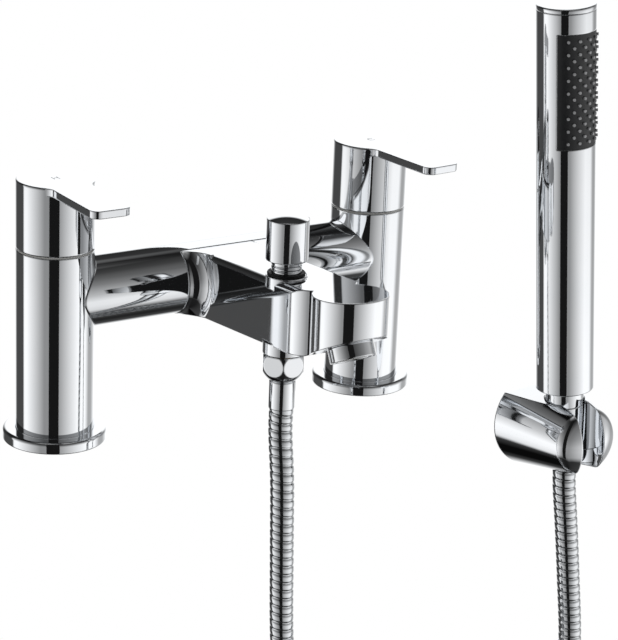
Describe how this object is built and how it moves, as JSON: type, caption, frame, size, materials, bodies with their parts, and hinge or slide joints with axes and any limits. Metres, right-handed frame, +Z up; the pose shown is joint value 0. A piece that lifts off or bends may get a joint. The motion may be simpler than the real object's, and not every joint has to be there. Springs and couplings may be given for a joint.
{
  "type": "bath shower mixer",
  "caption": "Deck-mounted chrome bath mixer with lever handles, flat spout, pull-up diverter, ribbed shower hose, stick handset and wall bracket.",
  "frame": {"origin": "on the bath deck, midway between the axes of the two pillars", "axes": "+Z up, +X from the hot pillar to the cold pillar, -Y towards the bather along the spout"},
  "size_m": [0.2765, 0.1682, 0.4975],
  "materials": {
    "chrome": "polished chrome plate",
    "hose_metal": "polished interlocked strip",
    "brass": "machined brass",
    "black_rubber": "matte rubber",
    "ceramic": "lapped ceramic",
    "steel": "zinc plated steel",
    "dark_plastic": "dark grey satin plastic",
    "white_plastic": "moulded plastic"
  },
  "bodies": {
    "mixer": {"hot_pillar": "chrome", "cold_pillar": "chrome", "bridge": "chrome", "spout": "chrome", "hot_foot_flange": "chrome", "cold_foot_flange": "chrome", "hot_deck_gasket": "black_rubber", "cold_deck_gasket": "black_rubber", "hot_inlet_tail": "brass", "cold_inlet_tail": "brass", "clamp_washers": "steel", "back_nuts": "brass", "hot_valve_body": "brass", "cold_valve_body": "brass", "hot_valve_seal": "black_rubber", "cold_valve_seal": "black_rubber", "hot_fixed_disc": "ceramic", "cold_fixed_disc": "ceramic", "hot_glide_ring": "white_plastic", "cold_glide_ring": "white_plastic", "aerator_housing": "chrome", "aerator_insert": "white_plastic", "aerator_washer": "black_rubber", "diverter_bush": "chrome", "diverter_o_ring": "black_rubber", "shower_outlet": "brass", "hose_nut": "chrome", "hose_washer": "black_rubber", "lower_ferrule": "chrome", "hose_lower": "hose_metal", "hose_coil": "hose_metal", "hose_upper": "hose_metal", "hose_tie": "dark_plastic", "bracket_body": "chrome", "bracket_wall_plate": "steel", "bracket_screws": "steel", "bracket_grub_screw": "steel"},
    "hot_lever": {"hot_handle": "chrome", "hot_spindle": "brass", "hot_moving_disc": "ceramic", "hot_grub_screw": "steel"},
    "cold_lever": {"cold_handle": "chrome", "cold_spindle": "brass", "cold_moving_disc": "ceramic", "cold_grub_screw": "steel"},
    "diverter": {"diverter_knob": "chrome", "diverter_stem": "brass", "diverter_piston": "white_plastic", "diverter_seal": "black_rubber"},
    "hose_end": {"upper_ferrule": "chrome"},
    "handset": {"cone_nut": "chrome", "cone_washer": "black_rubber", "handset_neck": "chrome", "handset_tube": "chrome", "handset_cap": "chrome", "spray_panel": "dark_plastic", "handset_waterway": "white_plastic"}
  },
  "joints": [
    {"name": "hot_handle_turn", "type": "hinge", "parent": "mixer", "child": "hot_lever", "pos_m": [-0.09, 0, 0.11], "axis": [0, 0, -1], "range_deg": [0, 90]},
    {"name": "cold_handle_turn", "type": "hinge", "parent": "mixer", "child": "cold_lever", "pos_m": [0.09, 0, 0.11], "axis": [0, 0, 1], "range_deg": [0, 90]},
    {"name": "diverter_lift", "type": "slide", "parent": "mixer", "child": "diverter", "axis": [0, 0, 1], "range_m": [0, 0.009]},
    {"name": "handset_lift", "type": "slide", "parent": "mixer", "child": "hose_end", "axis": [-0.0859, 0, 0.9963], "range_m": [0, 0.06], "deforming": ["hose_upper"]},
    {"name": "handset_turn", "type": "hinge", "parent": "hose_end", "child": "handset", "pos_m": [0.135, -0.119, 0.005], "axis": [-0.0859, 0, 0.9963], "range_deg": [-180, 180]}
  ]
}
